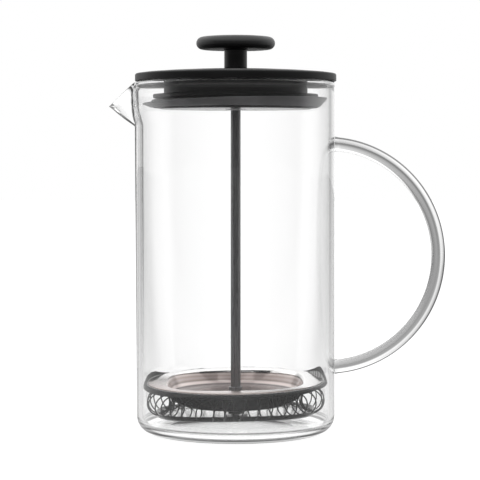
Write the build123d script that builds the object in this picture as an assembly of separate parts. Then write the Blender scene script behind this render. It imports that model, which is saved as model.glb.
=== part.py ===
from build123d import *
import os

# French press: round glass jug with a pinched spout and a glass loop handle, a black plug lid,
# and a plunger with a dished sheet-metal filter. Millimetres, +Z up, origin at the centre of
# the flat foot, handle towards +X, spout towards -X.

# Jug
jug_radius = 50.0
jug_wall = 2.4
jug_floor = 3.0
jug_height = 176.6
foot_bend = 5.0
bore_radius = jug_radius - jug_wall
spout_reach = jug_radius + 14.4
spout_tip_z = jug_height - 12.0
spout_root_z = jug_height - 23.2
spout_half_width = 10.0
spout_channel_shift = 6.0
spout_spread_x = jug_radius - 10.0

# Handle
handle_rod_radius = 3.5
handle_ring_radius = 56.6
handle_ring_x = jug_radius - 3.9
handle_ring_z = jug_height / 2 + 0.5

# Lid
lid_gap = 0.3
lid_radius = jug_radius + 1.0
lid_edge = 3.8
lid_crown = 2.4
gasket_radius = bore_radius - 1.2
fin_radius = gasket_radius - 4.6
plug_radius = fin_radius - 5.4
plug_wall = 2.2
lid_plate_radius = plug_radius + 2.0
lid_base_z = jug_height + lid_gap
plug_base_z = lid_base_z - 13.5
lid_top_z = lid_base_z + lid_edge + lid_crown

# Plunger
rod_radius = 2.5
spigot_radius = rod_radius - 0.55
rod_run = 0.06
bush_radius = rod_radius + 1.5
insert_radius = rod_radius + 1.05
collar_radius = rod_radius + 0.9
knob_radius = 20.0
knob_neck_radius = rod_radius + 3.3
knob_base_z = lid_top_z + 0.4
knob_disc_z = knob_base_z + 9.4
knob_top_z = knob_disc_z + 7.2

# Filter, from the pan at the bottom to the dish on top
gauge = 0.6
mesh_gauge = 0.5
mesh_radius = bore_radius - 1.3
pan_z = 9.4
pan_radius = mesh_radius - 3.1
coil_z = 16.6
coil_ring_radius = mesh_radius - 6.9
coil_radius = 5.5
cup_z = 14.1
cup_radius = mesh_radius - 3.7
cup_rim_z = 22.3
dish_floor_z = 17.9
dish_rim_z = 25.3
dish_radius = mesh_radius - 2.1
dish_recess_radius = dish_radius - 10.0
mesh_lip_z = 27.6


def turned(outline):
    return revolve(Plane.XZ * make_face(outline), axis=Axis.Z)


def block(points):
    return turned(Polyline(*points, close=True))


def sheet(points, bends, thickness):
    path = FilletPolyline(*points, radius=bends)
    return revolve(Plane.XZ * trace(path, thickness), axis=Axis.Z)


def sleeve(inner, outer, low, high):
    return block([(inner, low), (outer, low), (outer, high), (inner, high)])


def slab_triangle(apex, half, z):
    base = -spout_spread_x
    return Plane.XY.offset(z) * make_face(
        Polyline((apex, 0), (base, -half), (base, half), close=True))


def beak(shift):
    lean = (spout_reach - jug_radius) / (spout_tip_z - spout_root_z)
    rise_low, rise_high = -2.0, jug_height + 4 - spout_root_z
    rim_apex = jug_radius + lean * (jug_height - spout_root_z)
    spread = spout_half_width / (rim_apex - jug_radius + 1.0)
    faces = []
    for rise in (rise_low, rise_high):
        apex = -(jug_radius + lean * rise) + shift
        faces.append(slab_triangle(apex, (-apex - spout_spread_x) * spread, spout_root_z + rise))
    return loft(faces, ruled=True)


def spout_cut():
    hinge_x = -(jug_radius + 0.5)
    run, drop = spout_reach + hinge_x, jug_height - spout_tip_z
    far = 40.0
    outline = Polyline((hinge_x, jug_height), (hinge_x - far, jug_height - far * drop / run),
                       (hinge_x - far, jug_height + 20), (hinge_x, jug_height + 20), close=True)
    return extrude(Plane.XZ * make_face(outline), amount=60, both=True)


def make_jug():
    inner = jug_floor
    line = FilletPolyline((0, 0), (jug_radius, 0), (jug_radius, jug_height),
                          (bore_radius, jug_height), (bore_radius, inner), (0, inner),
                          radius=[foot_bend, 1.1, 1.1, foot_bend - 1.2])
    shell = turned(line + Line((0, inner), (0, 0)))
    top = Pos(0, 0, jug_height - 15) * Cylinder(jug_radius + 30, 60)
    side = beak(0) - Cylinder(jug_radius - 0.6, 600)
    side = side & Pos(0, 0, jug_height - 50) * Box(300, 300, 100)
    jug = shell + side
    jug -= beak(spout_channel_shift) & top & Pos(-jug_radius - 10, 0, jug_height) * Box(60, 60, 80)
    jug -= spout_cut()
    return jug.solids().sort_by(SortBy.VOLUME)[-1]


def make_handle():
    ring = Pos(handle_ring_x, 0, handle_ring_z) * Rot(90, 0, 0) * Torus(
        handle_ring_radius, handle_rod_radius)
    return (ring - Cylinder(jug_radius, 600)).solids().sort_by(SortBy.VOLUME)[-1]


def make_lid_cover():
    z, top = lid_base_z, lid_base_z + lid_edge
    edge = FilletPolyline((bush_radius + 0.05, z), (lid_radius, z), (lid_radius, top),
                          (lid_radius - 4, top + 0.55), radius=[0.5, 0.9])
    crown = ThreePointArc((lid_radius - 4, top + 0.55), (lid_radius * 0.55, top + lid_crown * 0.8),
                          (bush_radius + 0.05, lid_top_z))
    return turned(edge + crown + Line((bush_radius + 0.05, lid_top_z), (bush_radius + 0.05, z)))


def make_lid_plug():
    low, high, bore = plug_base_z, lid_base_z, bush_radius + 0.05
    inner = plug_radius - plug_wall
    return block([(bore, high), (bore, high - 2.4), (inner, high - 2.4), (inner, low),
                  (fin_radius, low), (fin_radius, low + 1.3), (plug_radius, low + 1.3),
                  (plug_radius, low + 4.9), (fin_radius, low + 4.9), (fin_radius, low + 6.9),
                  (plug_radius, low + 6.9), (plug_radius, high)])


def make_gasket():
    low, high = plug_base_z + 1.4, plug_base_z + 4.8
    ring = plug_radius + 0.1
    return block([(ring, low), (fin_radius, low), (gasket_radius, low + 0.1),
                  (gasket_radius + 0.2, low + 0.6), (fin_radius + 0.5, high), (ring, high)])


def make_lid_plate():
    return sleeve(bush_radius + 0.05, lid_plate_radius, plug_base_z - gauge, plug_base_z)


def make_bush():
    bore, low, collar = rod_radius + rod_run, plug_base_z - 2 * gauge, bush_radius + 1.0
    return block([(bore, low), (collar, low), (collar, low + gauge), (bush_radius, low + gauge),
                  (bush_radius, plug_base_z), (bush_radius + 3, plug_base_z),
                  (bush_radius + 3, plug_base_z + 1), (bush_radius, plug_base_z + 1),
                  (bush_radius, lid_top_z - 0.1), (bore, lid_top_z - 0.1)])


def make_rod():
    shoulder = dish_floor_z + gauge + 0.8
    foot, top = pan_z - 3.0, knob_disc_z + 1.6
    return block([(0, foot), (spigot_radius, foot), (spigot_radius, shoulder),
                  (rod_radius, shoulder), (rod_radius, top), (0, top)])


def make_knob():
    bore, deep, under = insert_radius + 0.05, knob_disc_z + 2.0, knob_disc_z
    rim = knob_radius - 2.9
    stem = FilletPolyline((bore, deep), (bore, knob_base_z), (knob_neck_radius, knob_base_z),
                          (knob_neck_radius, under), (rim, under), radius=[0.3, 0.3, 0.7])
    side = ThreePointArc((rim, under), (knob_radius, under + 2.9), (rim + 0.4, under + 5.7))
    edge, drop = rim + 0.4, knob_top_z - under - 5.7
    crown_radius = (edge * edge + drop * drop) / (2 * drop)
    half_way = knob_top_z - crown_radius + (crown_radius ** 2 - edge ** 2 / 4) ** 0.5
    crown = ThreePointArc((edge, under + 5.7), (edge / 2, half_way), (0, knob_top_z))
    inside = Polyline((0, knob_top_z), (0, deep), (bore, deep))
    return turned(stem + side + crown + inside)


def make_knob_insert():
    return sleeve(rod_radius + 0.03, insert_radius, knob_base_z + 1.0, knob_disc_z + 1.8)


def make_dish():
    low, high, bore = dish_floor_z + gauge / 2, dish_rim_z + gauge / 2, spigot_radius + 0.1
    return sheet([(bore, low), (dish_recess_radius - 3.4, low), (dish_recess_radius + 0.2, high),
                  (dish_radius, high)], [2.6, 1.4], gauge)


def make_mesh():
    low, high = dish_floor_z - mesh_gauge / 2, dish_rim_z - mesh_gauge / 2 - 0.02
    bore, bend = spigot_radius + 0.1, mesh_radius - 1.4
    return sheet([(bore, low), (dish_recess_radius - 2.7, low), (dish_recess_radius + 0.95, high),
                  (bend, high), (mesh_radius - mesh_gauge / 2, mesh_lip_z)], [3.1, 0.9, 0.8],
                 mesh_gauge)


def make_cup():
    boss_z = dish_floor_z - mesh_gauge - gauge / 2
    floor_z, flange_z = cup_z + gauge / 2, cup_rim_z + gauge / 2
    edge_z = dish_rim_z - mesh_gauge - 0.1
    return sheet([(spigot_radius + 0.1, boss_z), (7.4, boss_z), (9.6, floor_z), (cup_radius - 15.2, floor_z),
                  (cup_radius - 9.6, cup_z + 3.5), (cup_radius - 7.4, flange_z), (cup_radius - gauge, flange_z),
                  (cup_radius - gauge / 2, edge_z)], [1.0, 1.0, 2.4, 2.0, 1.0, 0.8], gauge)


def make_hub():
    return sleeve(spigot_radius + 0.1, 5.7, pan_z + gauge, dish_floor_z - mesh_gauge - gauge)


def make_pan():
    low = pan_z + gauge / 2
    return sheet([(spigot_radius + 0.1, low), (pan_radius - 3.0, low),
                  (pan_radius - gauge / 2, low + 2.0)], [2.0], gauge)


def make_base_nut():
    low = pan_z - 2.2
    body = Pos(0, 0, low) * extrude(RegularPolygon(spigot_radius + 2.45, 6), amount=2.2)
    return body - Cylinder(spigot_radius + 0.1, 200)


def make_collar():
    low = dish_floor_z + gauge + 0.8
    return sleeve(rod_radius + 0.05, collar_radius, low, low + 3.2)


def make_collar_washer():
    return sleeve(spigot_radius + 0.1, collar_radius + 1.0, dish_floor_z + gauge, dish_floor_z + gauge + 0.8)


def make_spring():
    return Pos(0, 0, coil_z) * Torus(coil_ring_radius, coil_radius)


parts = {
    "jug_body": make_jug,
    "jug_handle": make_handle,
    "lid_cover": make_lid_cover,
    "lid_plug": make_lid_plug,
    "lid_gasket": make_gasket,
    "lid_base_plate": make_lid_plate,
    "rod_guide_bush": make_bush,
    "plunger_rod": make_rod,
    "knob": make_knob,
    "knob_insert": make_knob_insert,
    "rod_collar": make_collar,
    "collar_washer": make_collar_washer,
    "filter_dish": make_dish,
    "filter_mesh": make_mesh,
    "filter_spring_cup": make_cup,
    "filter_spring": make_spring,
    "filter_hub": make_hub,
    "filter_base_pan": make_pan,
    "filter_base_nut": make_base_nut,
}

os.makedirs("parts", exist_ok=True)
for name, make in parts.items():
    shape = make()
    export_step(shape, f"parts/{name}.step")
    box = shape.bounding_box()
    print(name, len(shape.solids()), round(shape.volume, 1), shape.is_valid,
          [round(v, 2) for v in (*box.min, *box.max)])
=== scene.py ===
import bpy, bmesh, math, random
from mathutils import Vector, Matrix, noise


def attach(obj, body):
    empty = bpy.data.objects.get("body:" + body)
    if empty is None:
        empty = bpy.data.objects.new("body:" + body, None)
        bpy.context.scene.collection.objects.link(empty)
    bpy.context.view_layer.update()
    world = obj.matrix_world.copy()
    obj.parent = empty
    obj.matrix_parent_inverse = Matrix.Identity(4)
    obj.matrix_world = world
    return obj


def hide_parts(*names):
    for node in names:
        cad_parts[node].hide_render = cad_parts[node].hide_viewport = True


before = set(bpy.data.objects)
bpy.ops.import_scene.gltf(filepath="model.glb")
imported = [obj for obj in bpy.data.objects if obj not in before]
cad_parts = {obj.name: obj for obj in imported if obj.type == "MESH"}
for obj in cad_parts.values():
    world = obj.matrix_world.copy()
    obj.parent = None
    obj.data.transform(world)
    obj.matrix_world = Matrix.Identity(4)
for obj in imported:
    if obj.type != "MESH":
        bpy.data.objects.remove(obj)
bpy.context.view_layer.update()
mm = 0.001
print("frame loaded")

# in metres, how close points are joined and how close one counts as lying on a ring
build = {"weld": 1e-7, "near": 1e-6, "cornerSteps": 5}


def keep(bm, spec, material):
    mesh = bpy.data.meshes.new(spec["name"])
    bm.to_mesh(mesh)
    bm.free()
    obj = bpy.data.objects.new(spec["name"], mesh)
    bpy.context.scene.collection.objects.link(obj)
    for face in mesh.polygons:
        face.use_smooth = True
    mesh.materials.append(material)
    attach(obj, spec["body"])
    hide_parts(*spec["nodes"])
    # hard corners stay crisp, everything else shades smooth
    if "sharp" in spec:
        mesh.set_sharp_from_angle(angle=math.radians(spec["sharp"]))


def turn(corners, steps, closed=True):
    # corners are (radius, height, round) in millimetres; spun about Z, then each corner rounded
    bm = bmesh.new()
    verts = [bm.verts.new((r * mm, 0, z * mm)) for r, z, _ in corners]
    pairs = list(zip(verts, verts[1:]))
    if closed:
        pairs.append((verts[-1], verts[0]))
    edges = [bm.edges.new(pair) for pair in pairs]
    bmesh.ops.spin(bm, geom=verts + edges, cent=(0, 0, 0), axis=(0, 0, 1), dvec=(0, 0, 0),
                   angle=math.tau, steps=steps, use_merge=True, use_duplicate=False)
    bmesh.ops.remove_doubles(bm, verts=bm.verts, dist=build["weld"])
    bmesh.ops.recalc_face_normals(bm, faces=bm.faces)
    for r, z, soft in corners:
        if soft:
            ring = [e for e in bm.edges
                    if all(abs(v.co.z - z * mm) < build["near"] and
                           abs(math.hypot(v.co.x, v.co.y) - r * mm) < build["near"]
                           for v in e.verts)]
            bmesh.ops.bevel(bm, geom=ring, offset=soft * mm, offset_type="OFFSET",
                            segments=build["cornerSteps"], profile=0.5, affect="EDGES",
                            material=-1, clamp_overlap=True)
    bmesh.ops.remove_doubles(bm, verts=bm.verts, dist=build["weld"])
    bmesh.ops.recalc_face_normals(bm, faces=bm.faces)
    return bm


def lathe(spec):
    return turn(spec["corners"], spec["steps"], spec.get("closed", True))


def clamp(t):
    return max(0.0, min(1.0, t))


def smooth(t):
    t = clamp(t)
    return t * t * (3 - 2 * t)


def squareness(angle, power):
    # how much farther out a rounded square stands than the circle inside it
    return (abs(math.cos(angle)) ** power + abs(math.sin(angle)) ** power) ** (-1 / power)


topSeat = {"centre": 18.0, "forward": 1.4, "sideways": 0.9, "lower": 0.0}
panSeat = {"centre": 9.7, "forward": -2.7, "sideways": 1.0, "lower": 1.0}


def settle(bm, spec):
    # the loose filter plates sit a little out of square on their rod
    centre = Vector((0, 0, spec["centre"] * mm))
    for degrees, axis in ((spec["forward"], "X"), (-spec["sideways"], "Y")):
        bmesh.ops.rotate(bm, verts=bm.verts, cent=centre,
                         matrix=Matrix.Rotation(math.radians(degrees), 3, axis))
    bmesh.ops.translate(bm, verts=bm.verts, vec=(0, 0, -spec["lower"] * mm))
    return bm


def seatRise(spec, x, y):
    # how far a settled plate stands above level at this place, in the units of x and y
    return (y * math.tan(math.radians(spec["forward"])) +
            x * math.tan(math.radians(spec["sideways"])) - spec["lower"])


def nodesOf(name):
    material = bpy.data.materials.new(name)
    material.use_nodes = True
    tree = material.node_tree
    return material, tree, tree.nodes["Principled BSDF"]


def add(tree, kind, **values):
    node = tree.nodes.new(kind)
    for key, value in values.items():
        if key in node.inputs:
            node.inputs[key].default_value = value
        else:
            setattr(node, key, value)
    return node


def link(tree, a, b):
    tree.links.new(a, b)


def grey(v):
    return (v, v, v)


def ramp(tree, source, stops):
    node = tree.nodes.new("ShaderNodeValToRGB")
    elements = node.color_ramp.elements
    while len(elements) < len(stops):
        elements.new(0.5)
    for element, (place, colour) in zip(elements, stops):
        element.position = place
        element.color = (*(grey(colour) if isinstance(colour, float) else colour), 1)
    link(tree, source, node.inputs[0])
    return node.outputs[0]


def blend(tree, factor, first, second):
    node = add(tree, "ShaderNodeMix", data_type="RGBA")
    link(tree, factor, node.inputs["Factor"])
    for socket, value in ((node.inputs[6], first), (node.inputs[7], second)):
        if isinstance(value, tuple):
            socket.default_value = value
        else:
            link(tree, value, socket)
    return node.outputs[2]


def combine(tree, how, first, second):
    node = add(tree, "ShaderNodeMix", data_type="RGBA", blend_type=how)
    node.inputs["Factor"].default_value = 1
    link(tree, first, node.inputs[6])
    link(tree, second, node.inputs[7])
    return node.outputs[2]


def times(tree, first, second):
    node = add(tree, "ShaderNodeMath", operation="MULTIPLY")
    link(tree, first, node.inputs[0])
    link(tree, second, node.inputs[1])
    return node.outputs[0]


def mapped(tree, value, low, high, least=0.0):
    # low becomes the least value and high becomes 1
    node = add(tree, "ShaderNodeMapRange")
    node.inputs["From Min"].default_value = low
    node.inputs["From Max"].default_value = high
    node.inputs["To Min"].default_value = least
    link(tree, value, node.inputs["Value"])
    return node.outputs[0]


def parts(tree, vector):
    node = add(tree, "ShaderNodeSeparateXYZ")
    link(tree, vector, node.inputs[0])
    return node.outputs


def moved(tree, vector, operation, by):
    node = add(tree, "ShaderNodeVectorMath", operation=operation)
    node.inputs[1].default_value = by
    link(tree, vector, node.inputs[0])
    return node.outputs[0]


def length(tree, vector):
    node = add(tree, "ShaderNodeVectorMath", operation="LENGTH")
    link(tree, vector, node.inputs[0])
    return node.outputs["Value"]


def texture(tree, place, scale, detail):
    node = add(tree, "ShaderNodeTexNoise", Scale=scale, Detail=detail)
    link(tree, place, node.inputs["Vector"])
    return node.outputs[0]


def stretched(tree, place, scale):
    node = add(tree, "ShaderNodeMapping", Scale=scale)
    link(tree, place, node.inputs["Vector"])
    return node.outputs[0]


def bump(tree, shader, height, strength, distance):
    node = add(tree, "ShaderNodeBump", Strength=strength, Distance=distance)
    link(tree, height, node.inputs["Height"])
    link(tree, node.outputs[0], shader.inputs["Normal"])


def clearGlass(spec):
    material, tree, shader = nodesOf(spec["name"])
    shader.inputs["Base Color"].default_value = (*spec["tint"], 1)
    shader.inputs["Transmission Weight"].default_value = 1
    shader.inputs["IOR"].default_value = spec["bends"]
    place = add(tree, "ShaderNodeTexCoord").outputs["Object"]
    # faint blown-glass waviness and a trace of haze
    wave = texture(tree, place, spec["waveScale"], spec["waveDetail"])
    bump(tree, shader, wave, spec["waveStrength"], spec["waveHeight"])
    link(tree, ramp(tree, wave, spec["haze"]), shader.inputs["Roughness"])
    return material


def mouldedPlastic(spec):
    material, tree, shader = nodesOf(spec["name"])
    place = add(tree, "ShaderNodeTexCoord").outputs["Object"]
    fine = texture(tree, place, spec["fineScale"], spec["fineDetail"])
    broad = texture(tree, place, spec["broadScale"], spec["broadDetail"])
    tone = ramp(tree, broad, [(at, tuple(c * much for c in spec["colour"]))
                              for at, much in spec["uneven"]])
    link(tree, tone, shader.inputs["Base Color"])
    shine = ramp(tree, broad, [(at, spec["rough"] + more) for at, more in spec["wear"]])
    link(tree, shine, shader.inputs["Roughness"])
    shader.inputs["Specular IOR Level"].default_value = spec["gloss"]
    bump(tree, shader, fine, spec["grain"], spec["grainHeight"])
    return material


def metal(spec):
    material, tree, shader = nodesOf(spec["name"])
    shader.inputs["Metallic"].default_value = 1
    place = add(tree, "ShaderNodeTexCoord").outputs["Object"]
    drawn = texture(tree, stretched(tree, place, spec["streak"]), spec["scale"], spec["detail"])
    tone = ramp(tree, drawn, [(at, tuple(min(1, c * much) for c in spec["colour"]))
                              for at, much in spec["uneven"]])
    link(tree, tone, shader.inputs["Base Color"])
    shine = ramp(tree, drawn, [(at, spec["rough"] * much) for at, much in spec["wear"]])
    link(tree, shine, shader.inputs["Roughness"])
    shader.inputs["Specular Tint"].default_value = (*grey(spec["edge"]), 1)
    bump(tree, shader, drawn, spec["strength"], spec["height"])
    return material


def paintedLitTopSteel(spec):
    # painted light and shade: upward faces are painted bright as if lit, everything else is painted
    # dark as shade
    material, tree, shader = nodesOf(spec["name"])
    shader.inputs["Metallic"].default_value = 1
    shader.inputs["Roughness"].default_value = spec["rough"]
    place = add(tree, "ShaderNodeTexCoord")
    upward = parts(tree, place.outputs["Normal"])["Z"]
    link(tree, ramp(tree, upward, spec["sides"]), shader.inputs["Base Color"])
    streaks = texture(tree, place.outputs["Object"], spec["scale"], spec["detail"])
    bump(tree, shader, streaks, spec["strength"], spec["height"])
    return material


def polishedDish(spec):
    # mirror rim; the recess carries warm brown painted reflection stripes running round it, with a
    # painted sheen glowing on them and fine turning rings bumped in
    material, tree, shader = nodesOf(spec["name"])
    place = add(tree, "ShaderNodeTexCoord").outputs["Object"]
    height = mapped(tree, parts(tree, place)["Z"], spec["low"] * mm, spec["high"] * mm)
    for stops, socket in (("paintedReflectionStripes", "Base Color"), ("paintedSheen", "Emission Color"),
                          ("mirrorShare", "Metallic")):
        link(tree, ramp(tree, height, spec[stops]), shader.inputs[socket])
    shader.inputs["Emission Strength"].default_value = 1
    rings = texture(tree, stretched(tree, place, spec["streak"]), spec["scale"], spec["detail"])
    bump(tree, shader, rings, spec["strength"], spec["depth"])
    shader.inputs["Roughness"].default_value = spec["rough"]
    return material


def wovenMesh(spec):
    # silvery where it lies flat, painted dark as shade where the lip stands up
    material, tree, shader = nodesOf(spec["name"])
    shader.inputs["Roughness"].default_value = spec["rough"]
    shader.inputs["Metallic"].default_value = spec["metal"]
    place = add(tree, "ShaderNodeTexCoord").outputs["Object"]
    wires = []
    for axis in ("X", "Y"):
        weave = add(tree, "ShaderNodeTexWave", Scale=spec["weave"], Distortion=spec["uneven"],
                    bands_direction=axis)
        link(tree, place, weave.inputs["Vector"])
        wires.append(weave.outputs["Fac"])
    cross = times(tree, *wires)
    radius = length(tree, moved(tree, place, "MULTIPLY", (1, 1, 0)))
    reach = mapped(tree, radius, spec["inner"] * mm, spec["outer"] * mm)
    tone = ramp(tree, reach, spec["silverAndLipShade"])
    woven = combine(tree, "MULTIPLY", tone, ramp(tree, cross, spec["holes"]))
    link(tree, woven, shader.inputs["Base Color"])
    bump(tree, shader, cross, spec["strength"], spec["height"])
    return material


def paintedFootShadeAndGlow(material, spec):
    # painted shade and light: grey rings are painted into the glass colour at the thick foot, and a
    # painted glow lies along the very edge and faintly on the spout
    tree = material.node_tree
    shader = tree.nodes["Principled BSDF"]
    place = add(tree, "ShaderNodeTexCoord").outputs["Object"]
    split = parts(tree, place)
    top = spec["top"]
    height = mapped(tree, split["Z"], 0, top * mm)
    radius = length(tree, moved(tree, place, "MULTIPLY", (1, 1, 0)))
    edge = mapped(tree, radius, spec["inner"] * mm, (spec["inner"] + spec["fade"]) * mm)
    rings = ramp(tree, height, [(z / top, v) for z, v in spec["rings"]])
    link(tree, blend(tree, edge, (*spec["tint"], 1), rings), shader.inputs["Base Color"])
    glow = ramp(tree, height, [(z / top, v) for z, v in spec["glow"]])
    foot = blend(tree, edge, (0, 0, 0, 1), glow)
    spout = mapped(tree, split["X"], spec["spoutStarts"] * mm, spec["spoutFull"] * mm)
    link(tree, blend(tree, spout, foot, (*grey(spec["paintedSpoutGlow"]), 1)),
         shader.inputs["Emission Color"])
    shader.inputs["Emission Strength"].default_value = 1


def paintedShadeRod(material, spec, shape):
    # painted shade: the bent rod's colour is painted grey along the inside of its loop and clear
    # along the outside, with a dark painted line at the outer edge
    tree = material.node_tree
    place = add(tree, "ShaderNodeTexCoord").outputs["Object"]
    centred = moved(tree, place, "SUBTRACT", (shape["ringX"] * mm, 0, shape["ringZ"] * mm))
    reach = length(tree, moved(tree, centred, "MULTIPLY", (1, 0, 1)))
    across = mapped(tree, reach, (shape["ring"] - shape["rod"]) * mm,
                    (shape["ring"] + shape["rod"]) * mm)
    link(tree, ramp(tree, across, spec["bands"]),
         tree.nodes["Principled BSDF"].inputs["Base Color"])


print("tools for turning and finishing ready")


anyGlass = {"bends": 1.47, "waveScale": 38, "waveDetail": 1, "waveStrength": 0.05,
            "waveHeight": 0.0006, "haze": [(0.3, 0.0), (0.8, 0.012)]}

jug = {"name": "jugGlass", "body": "jug", "slot": "glass", "nodes": ["jug_body"], "sharp": 60,
       "radius": 50.0, "wall": 2.4, "floor": 3.0, "height": 176.6, "footBend": 8.0,
       "footInside": 5.5, "steps": 288, "hollow": 0.25, "hollowOut": (14, 0.5),
       "standsOut": (40, 1.5), "insideFlat": 16,
       "firstRow": 155, "rowGap": 1.5, "rows": 13, "rimClear": 3,
       "bead": 0.25, "beadTop": 0.15, "beadDrop": 1.6, "beadRound": 0.5, "rimRound": 0.9,
       "spoutRoot": 153.4, "spoutOut": 14.4, "spoutDrop": 12.0, "spoutHalfTurn": 8.5,
       "spoutNarrow": 0.35, "crease": 0.12, "creaseHalfTurn": 0.9, "tip": 0.88,
       "bulge": 2.6, "bulgeHalfTurn": 15.0, "bulgeDrop": 0.04}
# the foot rings are painted shade, and the glow values are a painted glow at the foot and on the
# spout
jugFinish = {**anyGlass, "name": "clearGlass", "tint": (0.985, 0.99, 0.99),
             "inner": 44.5, "fade": 1, "top": 8.0,
             "rings": [(0.0, 0.5), (1.7, 0.3), (2.2, 0.05), (3.0, 0.06), (3.5, 0.7), (4.9, 0.85),
                       (5.4, 0.8), (5.8, 0.3), (6.1, 0.4), (6.6, 0.985)],
             "glow": [(0.0, 0.5), (1.5, 0.5), (1.95, 0.06), (2.6, 0.06), (4.2, 0.0)],
             "spoutStarts": -50.6, "spoutFull": -53.0, "paintedSpoutGlow": 0.035}
glass = clearGlass(jugFinish)
paintedFootShadeAndGlow(glass, jugFinish)


def pullSpout(bm, spec):
    # the rim is pinched outwards and down into a narrow V
    root, top = spec["spoutRoot"] * mm, spec["height"] * mm
    for v in bm.verts:
        rise = (v.co.z - root) / (top - root)
        if rise <= 0 or v.co.x > 0:
            continue
        rise = min(rise, 1.0)
        radius = math.hypot(v.co.x, v.co.y)
        turnAway = abs(math.degrees(math.atan2(v.co.y, -v.co.x)))
        half = spec["spoutHalfTurn"] * (spec["spoutNarrow"] + (1 - spec["spoutNarrow"]) * rise)
        pinch = max(0.0, 1 - turnAway / half)
        pinch = pinch * (1 - spec["crease"] * math.exp(-(turnAway / spec["creaseHalfTurn"]) ** 2))
        swell = math.exp(-(turnAway / spec["bulgeHalfTurn"]) ** 2)
        out = (spec["spoutOut"] - spec["bulge"]) * pinch * rise / spec["tip"]
        out += spec["bulge"] * swell * (1 - (1 - rise) ** 2)
        low = min(1, pinch / spec["tip"] + spec["bulgeDrop"] * swell)
        drop = spec["spoutDrop"] * rise * low
        grow = (radius + out * mm) / radius
        v.co = Vector((v.co.x * grow, v.co.y * grow, v.co.z - drop * mm))


def makeJug(spec):
    r, floor, h = spec["radius"], spec["floor"], spec["height"]
    inner = r - spec["wall"]
    rows = [spec["firstRow"] + spec["rowGap"] * i for i in range(spec["rows"])]
    rows = [z for z in rows if z < h - spec["rimClear"]]
    rimLow = h - spec["beadDrop"]
    foot = [(0, spec["hollow"], 0), (*spec["hollowOut"], 0),
            (spec["standsOut"][0], 0.0, spec["standsOut"][1]), (r, 0, spec["footBend"])]
    rim = [(r + spec["bead"], rimLow, spec["beadRound"]),
           (r + spec["beadTop"], h, spec["rimRound"]),
           (inner - spec["beadTop"], h, spec["rimRound"]),
           (inner - spec["bead"], rimLow, spec["beadRound"])]
    bottom = [(inner, floor, spec["footInside"]), (spec["insideFlat"], floor, 0),
              (0, floor - spec["hollow"], 0)]
    corners = (foot + [(r, z, 0) for z in rows] + rim +
               [(inner, z, 0) for z in reversed(rows)] + bottom)
    bm = turn(corners, spec["steps"], closed=False)
    bmesh.ops.holes_fill(bm, edges=[e for e in bm.edges if e.is_boundary])
    pullSpout(bm, spec)
    bmesh.ops.recalc_face_normals(bm, faces=bm.faces)
    return bm


keep(makeJug(jug), jug, glass)

handle = {"name": "handleGlass", "body": "jug", "slot": "glass", "nodes": ["jug_handle"],
          "sharp": 60, "ringX": 46.1, "ringZ": 88.8, "ring": 56.6, "rod": 3.5, "sides": 28,
          "steps": 150, "start": -86.0, "sweep": 172.0, "gap": 0.01, "blend": 3, "spread": 0.1}
# the rod's bands are painted shade across its thickness
handleFinish = {**anyGlass, "name": "rodGlass", "tint": (0.98, 0.985, 0.985),
                "bands": [(0.0, 0.95), (0.05, 0.98), (0.4, 0.75), (0.47, 0.35), (0.55, 0.18),
                          (0.6, 0.5), (0.64, 0.97), (0.84, 0.97), (0.885, 0.03), (1.0, 0.012)]}
rodGlass = clearGlass(handleFinish)
paintedShadeRod(rodGlass, handleFinish, handle)


def makeHandle(spec, jugSpec):
    bm = bmesh.new()
    centre = Vector((spec["ringX"] * mm, 0, spec["ringZ"] * mm))
    made = bmesh.ops.create_circle(bm, cap_ends=False, radius=spec["rod"] * mm,
                                   segments=spec["sides"])
    # the circle stands across the ring at its outermost point, then starts low and swings up
    bmesh.ops.translate(bm, verts=made["verts"], vec=centre + Vector((spec["ring"] * mm, 0, 0)))
    bmesh.ops.rotate(bm, verts=made["verts"], cent=centre,
                     matrix=Matrix.Rotation(math.radians(-spec["start"]), 3, "Y"))
    bmesh.ops.spin(bm, geom=bm.verts[:] + bm.edges[:], cent=centre, axis=(0, -1, 0),
                   dvec=(0, 0, 0), angle=math.radians(spec["sweep"]), steps=spec["steps"],
                   use_merge=False, use_duplicate=False)
    bmesh.ops.holes_fill(bm, edges=[e for e in bm.edges if e.is_boundary])
    # the ends lie flat against the round wall, spread a little where the hot rod was pressed on
    wall = (jugSpec["radius"] + spec["gap"]) * mm
    for v in bm.verts:
        gap = (math.hypot(v.co.x, v.co.y) - wall) / mm
        if gap < spec["blend"]:
            side = 1 if v.co.z > centre.z else -1
            middle = centre.z + side * spec["ring"] * mm
            near = max(0.0, 1 - max(gap, 0) / spec["blend"])
            spread = 1 + spec["spread"] * near ** 2
            v.co.y *= spread
            v.co.z = middle + (v.co.z - middle) * spread
        if gap < 0:
            v.co.x = math.sqrt(wall * wall - v.co.y ** 2)
    bmesh.ops.recalc_face_normals(bm, faces=bm.faces)
    return bm


keep(makeHandle(handle, jug), handle, rodGlass)
print("jug and handle done")


anyPlastic = {"fineScale": 2600, "fineDetail": 2, "broadScale": 60, "broadDetail": 3,
              "uneven": [(0.3, 0.8), (0.75, 1.25)], "wear": [(0.3, -0.05), (0.7, 0.06)],
              "grainHeight": 0.0001}
lidPlastic = mouldedPlastic({**anyPlastic, "name": "lidBlackPlastic", "rough": 0.45,
                             "colour": (0.005, 0.005, 0.0052), "grain": 0.01, "gloss": 0.22})
knobPlastic = mouldedPlastic({**anyPlastic, "name": "knobBlackPlastic", "rough": 0.42,
                              "colour": (0.014, 0.014, 0.0145), "grain": 0.02, "gloss": 0.5})
darkRubber = mouldedPlastic({**anyPlastic, "name": "greySilicone", "rough": 0.5,
                             "colour": (0.17, 0.17, 0.175), "grain": 0.01, "gloss": 0.5})

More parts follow.
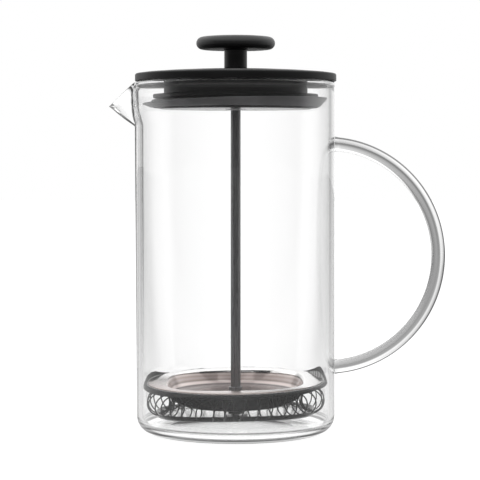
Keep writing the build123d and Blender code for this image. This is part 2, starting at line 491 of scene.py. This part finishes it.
anySteel = {"streak": (1, 1, 60), "scale": 220, "detail": 4, "uneven": [(0.25, 0.75), (0.75, 1.25)],
            "wear": [(0.2, 0.7), (0.8, 1.35)], "strength": 0.06, "height": 0.0002, "edge": 1}
drawnSteel = metal({**anySteel, "name": "drawnSteel", "colour": (0.17, 0.17, 0.173), "rough": 0.3,
                    "streak": (40, 40, 1), "scale": 60})
plainSteel = metal({**anySteel, "name": "plainSteel", "colour": (0.6, 0.6, 0.61), "rough": 0.2})
# steel under the filter plate is painted near black as shade, and stays dark at its grazing edges
# too
paintedShadeSteel = metal({**anySteel, "name": "paintedShadeSteel", "colour": (0.008, 0.008, 0.0085),
                   "rough": 0.3, "edge": 0.12})
plateSteel = metal({**anySteel, "name": "plateSteel", "colour": (0.11, 0.11, 0.112),
                    "rough": 0.25})
wireSteel = metal({**anySteel, "name": "wireSteel", "colour": (0.03, 0.03, 0.03), "rough": 0.4})
brass = metal({**anySteel, "name": "turnedBrass", "colour": (0.72, 0.52, 0.24), "rough": 0.3})

lid = {"name": "lidCover", "body": "lid", "slot": "black_plastic", "nodes": ["lid_cover"],
       "sharp": 50, "steps": 160,
       "corners": [(4.05, 176.9, 0), (50.99, 176.9, 0.5), (50.99, 180.7, 0.8), (47, 181.25, 0),
                   (40, 181.8, 0), (30, 182.36, 0), (20, 182.75, 0), (10, 183.0, 0),
                   (4.05, 183.1, 0)]}
keep(lathe(lid), lid, lidPlastic)

plug = {"name": "lidPlug", "body": "lid", "slot": "black_plastic", "nodes": ["lid_plug"],
        "sharp": 40, "steps": 144,
        "corners": [(4.05, 176.9, 0), (4.05, 174.5, 0.3), (34.2, 174.5, 1.0), (34.2, 163.4, 0),
                    (41.8, 163.4, 0.25), (41.8, 164.7, 0.25), (36.4, 164.7, 0.2),
                    (36.4, 168.3, 0.2), (41.8, 168.3, 0.5), (41.8, 170.3, 0.5),
                    (36.4, 170.3, 0.6), (36.4, 176.9, 0)]}
keep(lathe(plug), plug, lidPlastic)

gasket = {"name": "lidGasket", "body": "lid", "slot": "silicone", "nodes": ["lid_gasket"],
          "sharp": 50, "steps": 200, "starts": 42.2, "width": 4.1, "lift": 3.5, "turned": 40,
          "most": 168.9, "ripple": 0.06, "ripples": 3, "rippleTurn": 0.8,
          "corners": [(36.5, 165.1, 0), (41.0, 165.3, 0.3), (42.1, 164.8, 0.2),
                      (42.2, 163.7, 0.2), (43.2, 163.6, 0.3), (46.2, 164.6, 0.15),
                      (46.35, 165.1, 0.15), (43.6, 165.6, 0.3), (42.0, 167.6, 0.4),
                      (36.5, 168.0, 0)]}


def curlLip(bm, spec):
    # the soft lip is curled up on the handle side and hangs low on the spout side
    for v in bm.verts:
        radius = math.hypot(v.co.x, v.co.y) / mm
        reach = max(0.0, (radius - spec["starts"]) / spec["width"])
        angle = math.atan2(v.co.y, v.co.x)
        lift = 0.5 + 0.5 * math.cos(angle + math.radians(spec["turned"]))
        ripple = spec["ripple"] * math.sin(spec["ripples"] * angle + spec["rippleTurn"])
        v.co.z += (spec["lift"] * lift + ripple) * reach * mm
        v.co.z = min(v.co.z, spec["most"] * mm)
    bmesh.ops.recalc_face_normals(bm, faces=bm.faces)
    return bm


keep(curlLip(lathe(gasket), gasket), gasket, darkRubber)

plate = {"name": "lidBasePlate", "body": "lid", "slot": "steel", "nodes": ["lid_base_plate"],
         "sharp": 40, "steps": 144,
         "corners": [(4.05, 162.8, 0), (38.4, 162.8, 0.15), (38.4, 163.4, 0.15),
                     (4.05, 163.4, 0)]}
keep(lathe(plate), plate, plateSteel)

bush = {"name": "rodGuideBush", "body": "lid", "slot": "steel", "nodes": ["rod_guide_bush"],
        "sharp": 35, "steps": 64,
        "corners": [(2.56, 162.2, 0.1), (5.0, 162.2, 0.2), (5.0, 162.8, 0), (4.0, 162.8, 0),
                    (4.0, 163.4, 0), (7.0, 163.4, 0.2), (7.0, 164.4, 0.2), (4.0, 164.4, 0),
                    (4.0, 183.0, 0.2), (2.56, 183.0, 0.2)]}
keep(lathe(bush), bush, plainSteel)
print("lid done")


rod = {"name": "plungerRod", "body": "plunger", "slot": "steel", "nodes": ["plunger_rod"],
       "sharp": 35, "steps": 48, "closed": False,
       "corners": [(0, 6.4, 0), (1.95, 6.4, 0.4), (1.95, 19.3, 0), (2.5, 19.3, 0.1),
                   (2.5, 194.5, 0.3), (0, 194.5, 0)]}
keep(lathe(rod), rod, drawnSteel)

knob = {"name": "knob", "body": "plunger", "slot": "black_plastic", "nodes": ["knob"],
        "sharp": 45, "steps": 96, "closed": False,
        "corners": [(3.6, 194.92, 0), (3.6, 183.52, 0.3), (5.8, 183.52, 0.4), (5.8, 193.17, 0.9),
                    (14.0, 192.92, 1.3), (20.0, 193.27, 2.9), (20.0, 199.17, 2.9),
                    (14.0, 199.7, 0), (8.0, 199.98, 0), (4.0, 200.06, 0), (0, 200.09, 0),
                    (0, 194.92, 0)]}
keep(lathe(knob), knob, knobPlastic)

insert = {"name": "knobInsert", "body": "plunger", "slot": "brass", "nodes": ["knob_insert"],
          "sharp": 35, "steps": 48,
          "corners": [(2.53, 184.5, 0.2), (3.55, 184.5, 0.2), (3.55, 194.7, 0.2),
                      (2.53, 194.7, 0.2)]}
keep(lathe(insert), insert, brass)

collar = {"name": "rodCollar", "body": "plunger", "slot": "steel", "nodes": ["rod_collar"],
          "sharp": 35, "steps": 48,
          "corners": [(2.55, 19.3, 0.1), (3.4, 19.3, 0.2), (3.4, 22.5, 0.35), (2.55, 22.5, 0.1)]}
keep(settle(lathe(collar), topSeat), collar, drawnSteel)

washer = {"name": "collarWasher", "body": "plunger", "slot": "steel",
          "nodes": ["collar_washer"], "sharp": 35, "steps": 48,
          "corners": [(2.05, 18.5, 0), (4.4, 18.5, 0.1), (4.4, 19.3, 0.25), (2.05, 19.3, 0.1)]}
keep(settle(lathe(washer), topSeat), washer, plainSteel)

recess = {"low": 19.5, "high": 25.2, "outer": 44.0, "mouth": 35.5, "middle": 20, "power": 3.0}


def squareRecess(bm, spec):
    # the mouth of the recess is drawn out towards a rounded square, its floor stays round
    for v in bm.verts:
        radius, height = math.hypot(v.co.x, v.co.y) / mm, v.co.z / mm
        up = clamp((height - spec["low"]) / (spec["high"] - spec["low"]))
        fade = clamp((spec["outer"] - radius) / (spec["outer"] - spec["mouth"]))
        if up <= 0 or radius < spec["middle"]:
            continue
        square = squareness(math.atan2(v.co.y, v.co.x), spec["power"])
        grow = 1 + (square - 1) * smooth(up) * fade
        v.co.x *= grow
        v.co.y *= grow
    return bm


dish = {"name": "filterDish", "body": "plunger", "slot": "polished_steel",
        "nodes": ["filter_dish"], "sharp": 50, "steps": 180,
        "corners": [(2.05, 18.5, 0), (2.05, 17.9, 0), (31.0, 17.9, 2.6), (34.75, 25.3, 1.4),
                    (44.2, 25.3, 0.12), (44.2, 25.9, 0.2), (34.2, 25.9, 1.2), (30.6, 18.5, 2.4)]}
# the stripes are painted reflections, the sheen is a painted glow, and the metal share drops in the
# recess so that they show
dishSteel = polishedDish({
    "name": "polishedDish", "low": 17.9, "high": 25.9, "rough": 0.12, "streak": (0.05, 0.05, 1),
    "scale": 900, "detail": 2, "strength": 0.06, "depth": 0.0001,
    "paintedReflectionStripes": [(0.0, (0.30, 0.26, 0.25)), (0.2, (0.34, 0.29, 0.28)), (0.27, (0.06, 0.05, 0.045)),
                (0.33, (0.80, 0.70, 0.67)), (0.42, (0.80, 0.70, 0.67)), (0.5, (0.30, 0.24, 0.22)),
                (0.63, (0.55, 0.46, 0.43)), (0.75, (0.38, 0.31, 0.29)), (0.86, (0.70, 0.60, 0.57)),
                (0.94, (0.10, 0.08, 0.07)), (0.99, (0.92, 0.91, 0.90))],
    "paintedSheen": [(0.22, (0, 0, 0)), (0.33, (0.16, 0.135, 0.13)), (0.42, (0.16, 0.135, 0.13)),
              (0.5, (0.04, 0.032, 0.03)), (0.86, (0.08, 0.066, 0.062)), (0.93, (0, 0, 0))],
    "mirrorShare": [(0.0, 0.2), (0.88, 0.3), (0.96, 1.0)]})
keep(settle(squareRecess(lathe(dish), recess), topSeat), dish, dishSteel)

# raised and hanging places round the lip are (angle, half width, height)
lip = {"name": "filterMesh", "body": "plunger", "slot": "mesh_steel", "nodes": ["filter_mesh"],
       "sharp": 50, "steps": 240, "starts": 44.6, "width": 1.5, "stands": 2.6, "flare": 0.5,
       "ragged": 0.35, "broadTears": (5, 4.1), "fineTears": (16, 7.7), "fineShare": 0.6,
       "sideShare": 0.2,
       "raised": [(163, 26, 1.35), (16, 24, 1.9)],
       "hang": [(-140, 45, 1.9), (-88, 45, 0.2), (-38, 40, 0.7)],
       "corners": [(2.05, 17.9, 0), (2.05, 17.4, 0), (31.4, 17.4, 2.8), (35.3, 24.78, 1.0),
                   (44.9, 24.78, 0.5), (46.1, 27.45, 0), (45.75, 27.55, 0), (44.6, 25.28, 0.4),
                   (34.95, 25.28, 1.0), (31.1, 17.9, 2.6)]}
# the dark lip tone is painted shade
meshSteel = wovenMesh({
    "name": "wovenSteel", "rough": 0.5, "metal": 0.6, "weave": 300, "uneven": 0.6,
    "strength": 0.5, "height": 0.0002, "inner": 44.0, "outer": 46.5,
    "silverAndLipShade": [(0.0, 0.95), (0.34, 0.9), (0.42, 0.06), (1.0, 0.03)],
    "holes": [(0.0, 0.3), (0.45, 1.0)]})


def around(places, angle):
    # the sum of the smooth humps that reach this angle
    return sum(much * smooth(1 - abs((math.degrees(angle) - at + 180) % 360 - 180) / wide)
               for at, wide, much in places)


def tears(angle, size, seed):
    return noise.noise(Vector((math.cos(angle) * size, math.sin(angle) * size, seed)))


def wearLip(bm, spec):
    # worn flat all round, the woven lip still stands up at two places towards the back
    for v in bm.verts:
        radius = math.hypot(v.co.x, v.co.y) / mm
        reach = clamp((radius - spec["starts"]) / spec["width"])
        if reach <= 0:
            continue
        angle = math.atan2(v.co.y, v.co.x)
        stand, hang = around(spec["raised"], angle), around(spec["hang"], angle)
        ragged = spec["ragged"] * (tears(angle, *spec["broadTears"]) +
                                   spec["fineShare"] * tears(angle, *spec["fineTears"]))
        v.co.z += (spec["stands"] * (stand - 1) - hang + ragged) * reach * mm
        out = spec["flare"] * (1 - min(1, stand)) + spec["sideShare"] * ragged
        grow = 1 + out * reach / radius
        v.co.x *= grow
        v.co.y *= grow
    return bm


def makeMesh(spec):
    bm = settle(squareRecess(wearLip(lathe(spec), spec), recess), topSeat)
    bmesh.ops.recalc_face_normals(bm, faces=bm.faces)
    return bm


keep(makeMesh(lip), lip, meshSteel)

cup = {"name": "filterSpringCup", "body": "plunger", "slot": "dark_steel",
       "nodes": ["filter_spring_cup"], "sharp": 40, "steps": 160,
       "corners": [(2.05, 17.4, 0), (2.05, 16.8, 0), (7.1, 16.8, 0.8), (9.3, 14.1, 0.8),
                   (27.5, 14.1, 2.2), (33.25, 17.4, 1.8), (35.5, 22.3, 0.9), (42.6, 22.3, 0.5),
                   (42.6, 24.7, 0.15), (42.0, 24.7, 0.15), (42.0, 22.9, 0.3), (34.95, 22.9, 0.9),
                   (32.8, 17.8, 1.8), (27.3, 14.7, 2.0), (9.9, 14.7, 0.8), (7.6, 17.4, 0.8)]}
keep(settle(squareRecess(lathe(cup), recess), topSeat), cup, paintedShadeSteel)

hub = {"name": "filterHub", "body": "plunger", "slot": "dark_steel", "nodes": ["filter_hub"],
       "sharp": 35, "steps": 64,
       "corners": [(2.05, 10.0, 0), (5.7, 10.0, 0.5), (5.7, 16.8, 0.4), (2.05, 16.8, 0)]}
keep(settle(lathe(hub), topSeat), hub, paintedShadeSteel)

pan = {"name": "filterBasePan", "body": "plunger", "slot": "dark_steel",
       "nodes": ["filter_base_pan"], "sharp": 40, "steps": 160,
       "power": 2.6, "most": 43.9, "radius": 43.2, "middle": 8, "fade": 12,
       "corners": [(2.05, 10.0, 0), (2.05, 9.4, 0), (41.8, 9.4, 1.2), (43.3, 11.9, 0.15),
                   (42.8, 12.1, 0.15), (41.2, 10.0, 0.9)]}
# the pan's top is painted as lit and its other faces as shade
panSteel = paintedLitTopSteel({"name": "panSteel", "rough": 0.22, "scale": 300, "detail": 3,
                     "strength": 0.05, "height": 0.0002,
                     "sides": [(0.55, (0.008, 0.008, 0.0085)), (0.85, (0.9, 0.9, 0.9))]})


def squareRound(bm, spec):
    # pressed from sheet, the plate is a little squarer than a true circle
    corner = 2 ** (0.5 - 1 / spec["power"])
    for v in bm.verts:
        square = squareness(math.atan2(v.co.y, v.co.x), spec["power"])
        radius = math.hypot(v.co.x, v.co.y) / mm
        fade = smooth((radius - spec["middle"]) / spec["fade"])
        grow = 1 + (square / corner * spec["most"] / spec["radius"] - 1) * fade
        v.co.x *= grow
        v.co.y *= grow
    return bm


keep(settle(squareRound(lathe(pan), pan), panSeat), pan, panSteel)

nut = {"name": "filterBaseNut", "body": "plunger", "slot": "steel",
       "nodes": ["filter_base_nut"], "sharp": 35, "sides": 6, "radius": 4.4, "depth": 2.2,
       "middle": 8.3, "round": 0.25, "roundSteps": 3}


def makeNut(spec):
    bm = bmesh.new()
    bmesh.ops.create_cone(bm, cap_ends=True, segments=spec["sides"],
                          radius1=spec["radius"] * mm, radius2=spec["radius"] * mm,
                          depth=spec["depth"] * mm,
                          matrix=Matrix.Translation((0, 0, spec["middle"] * mm)))
    bmesh.ops.bevel(bm, geom=bm.edges[:], offset=spec["round"] * mm, offset_type="OFFSET",
                    segments=spec["roundSteps"], profile=0.5, affect="EDGES", material=-1)
    return bm


keep(makeNut(nut), nut, plainSteel)

spring = {"name": "filterSpring", "body": "plunger", "slot": "spring_steel",
          "nodes": ["filter_spring"], "ring": 39.2, "coil": 6.0, "wire": 0.32, "turns": 38,
          "floor": 10.05, "ceiling": 22.2, "perTurn": 24, "seed": 7, "sway": 0.22,
          "wireSteps": 2}


def coilPoint(spec, at, sway):
    near, share = int(at) % spec["turns"], at % 1
    drift = sway[near] * (1 - share) + sway[(near + 1) % spec["turns"]] * share
    angle = math.tau * (at + spec["sway"] * drift) / spec["turns"]
    phase = math.tau * at
    reach = spec["ring"] + (spec["coil"] - spec["wire"]) * math.cos(phase)
    # squeezed between the settled pan below and the cup above
    x, y = spec["ring"] * math.cos(angle), spec["ring"] * math.sin(angle)
    under = spec["floor"] + spec["wire"] + seatRise(panSeat, x, y)
    over = spec["ceiling"] - spec["wire"] + seatRise(topSeat, x, y)
    height = (under + over) / 2 + (over - under) / 2 * math.sin(phase)
    return (reach * math.cos(angle) * mm, reach * math.sin(angle) * mm, height * mm, 1)


def makeSpring(spec):
    random.seed(spec["seed"])
    sway = [random.uniform(-1, 1) for _ in range(spec["turns"])]
    count = spec["turns"] * spec["perTurn"]
    curve = bpy.data.curves.new("springPath", "CURVE")
    curve.dimensions = "3D"
    line = curve.splines.new("POLY")
    line.points.add(count - 1)
    for i in range(count):
        line.points[i].co = coilPoint(spec, i / spec["perTurn"], sway)
    line.use_cyclic_u = True
    curve.bevel_depth = spec["wire"] * mm
    curve.bevel_resolution = spec["wireSteps"]
    holder = bpy.data.objects.new("springHolder", curve)
    bpy.context.scene.collection.objects.link(holder)
    bpy.context.view_layer.update()
    mesh = bpy.data.meshes.new_from_object(holder)
    bpy.data.objects.remove(holder)
    bm = bmesh.new()
    bm.from_mesh(mesh)
    bmesh.ops.remove_doubles(bm, verts=bm.verts, dist=build["weld"])
    bmesh.ops.recalc_face_normals(bm, faces=bm.faces)
    return bm


keep(makeSpring(spring), spring, wireSteel)
print("plunger done")


# light falls off from straight behind to both sides, and returns at the far sides
through = [(0.0, 1.2), (0.06, 1.1), (0.14, 0.95), (0.3, 0.74), (0.45, 0.48), (0.6, 0.3),
           (0.72, 0.6), (0.85, 1.1), (1.0, 1.2)]


def sideLight(tree, across):
    side = add(tree, "ShaderNodeMath", operation="ABSOLUTE")
    link(tree, across, side.inputs[0])
    return ramp(tree, side.outputs[0], through)


studioFloor = {"name": "studioFloor", "size": 4, "drop": 0.0004, "paint": 0.15, "seen": 0.97,
               "glow": 0.4, "back": 0.35, "rough": 0.8,
               "underJug": [(0.0, 1.2), (0.38, 1.2), (0.55, 1.0)], "underReach": 0.12,
               "dimFrom": -0.3, "dimTo": -0.12, "dimLeast": 0.3}


def scaled(tree, vector, much):
    node = add(tree, "ShaderNodeVectorMath", operation="SCALE")
    if isinstance(vector, tuple):
        node.inputs[0].default_value = vector
    else:
        link(tree, vector, node.inputs[0])
    link(tree, much, node.inputs["Scale"])
    return node.outputs[0]


def floorPaint(spec):
    material, tree, shader = nodesOf("paleFloor")
    place = add(tree, "ShaderNodeTexCoord").outputs["Object"]
    behind = moved(tree, place, "ADD", (0, spec["back"], 0))
    direction = add(tree, "ShaderNodeVectorMath", operation="NORMALIZE")
    link(tree, behind, direction.inputs[0])
    side = sideLight(tree, parts(tree, direction.outputs[0])["X"])
    # the light changes a little on the floor under the jug
    near = mapped(tree, length(tree, place), 0, spec["underReach"])
    shaded = combine(tree, "MULTIPLY", side, ramp(tree, near, spec["underJug"]))
    # the floor in front of the jug lies in the dim half of the room
    ahead = mapped(tree, parts(tree, place)["Y"], spec["dimFrom"], spec["dimTo"],
                   spec["dimLeast"])
    path = add(tree, "ShaderNodeLightPath")
    glassRay = path.outputs["Is Transmission Ray"]
    paint, seen = (*grey(spec["paint"]), 1), (*grey(spec["seen"]), 1)
    link(tree, blend(tree, glassRay, paint, (0, 0, 0, 1)), shader.inputs["Base Color"])
    lit = blend(tree, path.outputs["Is Camera Ray"],
                scaled(tree, grey(spec["glow"]), ahead), seen)
    link(tree, blend(tree, glassRay, lit, scaled(tree, shaded, ahead)),
         shader.inputs["Emission Color"])
    shader.inputs["Roughness"].default_value = spec["rough"]
    shader.inputs["Specular IOR Level"].default_value = 0
    shader.inputs["Emission Strength"].default_value = 1
    return material


def makeFloor(spec):
    bm = bmesh.new()
    bmesh.ops.create_grid(bm, x_segments=2, y_segments=2, size=spec["size"])
    bmesh.ops.translate(bm, verts=bm.verts, vec=(0, 0, -spec["drop"]))
    mesh = bpy.data.meshes.new(spec["name"])
    bm.to_mesh(mesh)
    bm.free()
    obj = bpy.data.objects.new(spec["name"], mesh)
    bpy.context.scene.collection.objects.link(obj)
    mesh.materials.append(floorPaint(spec))


makeFloor(studioFloor)

room = {"mirrored": [(0.0, 0.06), (0.38, 0.08), (0.48, 0.5), (0.6, 0.95), (1.0, 1.1)],
        "overhead": [(0.0, 0.0), (0.3, 0.0), (0.5, 1.6), (1.0, 1.6)],
        "frontWall": 0.25, "dimFrom": -0.15, "dimTo": 0.1}


def makeWorld(spec):
    world = bpy.data.worlds.new("studio")
    bpy.context.scene.world = world
    world.use_nodes = True
    tree = world.node_tree
    back = tree.nodes["Background"]
    split = parts(tree, add(tree, "ShaderNodeTexCoord").outputs["Generated"])
    behind = sideLight(tree, split["X"])
    # surfaces mirror a bright wall behind and a dim room in front
    mirrored = ramp(tree, mapped(tree, split["Y"], -1, 1), spec["mirrored"])
    path = add(tree, "ShaderNodeLightPath")
    glassRay = path.outputs["Is Transmission Ray"]
    bare = times(tree, glassRay, mapped(tree, split["Y"], spec["dimFrom"], spec["dimTo"]))
    front = blend(tree, glassRay, mirrored, (*grey(spec["frontWall"]), 1))
    walls = blend(tree, bare, front, behind)
    # a wide soft light overhead
    lit = combine(tree, "LIGHTEN", walls, ramp(tree, split["Z"], spec["overhead"]))
    link(tree, blend(tree, path.outputs["Is Camera Ray"], lit, (1, 1, 1, 1)),
         back.inputs["Color"])
    back.inputs["Strength"].default_value = 1.0


makeWorld(room)

camera = {"distance": 0.912, "height": 0.1429, "middleX": 0.0022, "focal": 134.9,
          "shiftY": -0.1906, "film": 36, "far": 50, "look": "Standard"}


def makeCamera(spec):
    lens = bpy.data.cameras.new("camera")
    lens.lens = spec["focal"]
    lens.sensor_width = spec["film"]
    lens.shift_y = spec["shiftY"]
    lens.clip_end = spec["far"]
    holder = bpy.data.objects.new("camera", lens)
    holder.location = (spec["middleX"], -spec["distance"], spec["height"])
    holder.rotation_euler = (math.radians(90), 0, 0)
    bpy.context.scene.collection.objects.link(holder)
    bpy.context.scene.camera = holder
    bpy.context.scene.view_settings.view_transform = spec["look"]


makeCamera(camera)
print("studio ready")
